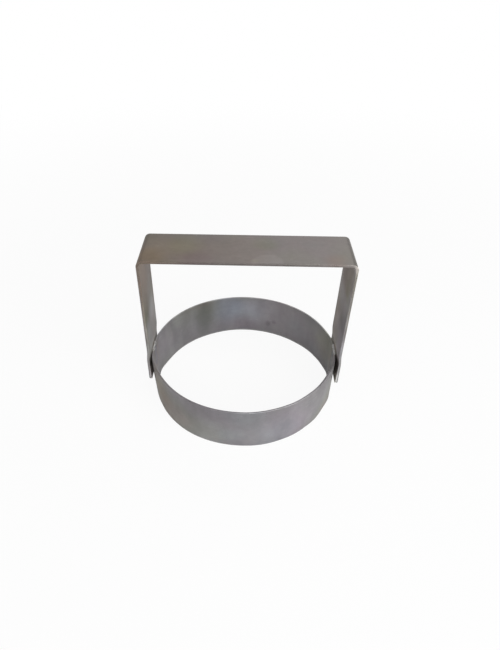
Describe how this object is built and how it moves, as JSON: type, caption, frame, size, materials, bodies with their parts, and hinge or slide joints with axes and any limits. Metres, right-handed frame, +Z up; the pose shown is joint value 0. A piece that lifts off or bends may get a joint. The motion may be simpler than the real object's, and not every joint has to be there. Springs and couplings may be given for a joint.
{
  "type": "biscuit cutter",
  "caption": "Round steel biscuit cutter: a thin rolled band with a bevelled cutting edge and a square strap handle welded across it.",
  "frame": {"origin": "middle of the circle of the cutting edge, on the surface that the cutter stands on", "axes": "+Z up from the cutting edge to the grip, +X along the grip from one leg to the other, +Y across the strap"},
  "size_m": [0.0926, 0.09, 0.076],
  "materials": {
    "band_steel": "matte rolled mill finish",
    "strap_steel": "matte rolled mill finish",
    "weld_metal": "bare weld bead"
  },
  "bodies": {
    "root": {"cutter_band": "band_steel", "band_seam_weld": "weld_metal", "strap_handle": "strap_steel", "left_rim_tack": "weld_metal", "right_rim_tack": "weld_metal", "left_spot_welds": "weld_metal", "right_spot_welds": "weld_metal"}
  },
  "joints": []
}
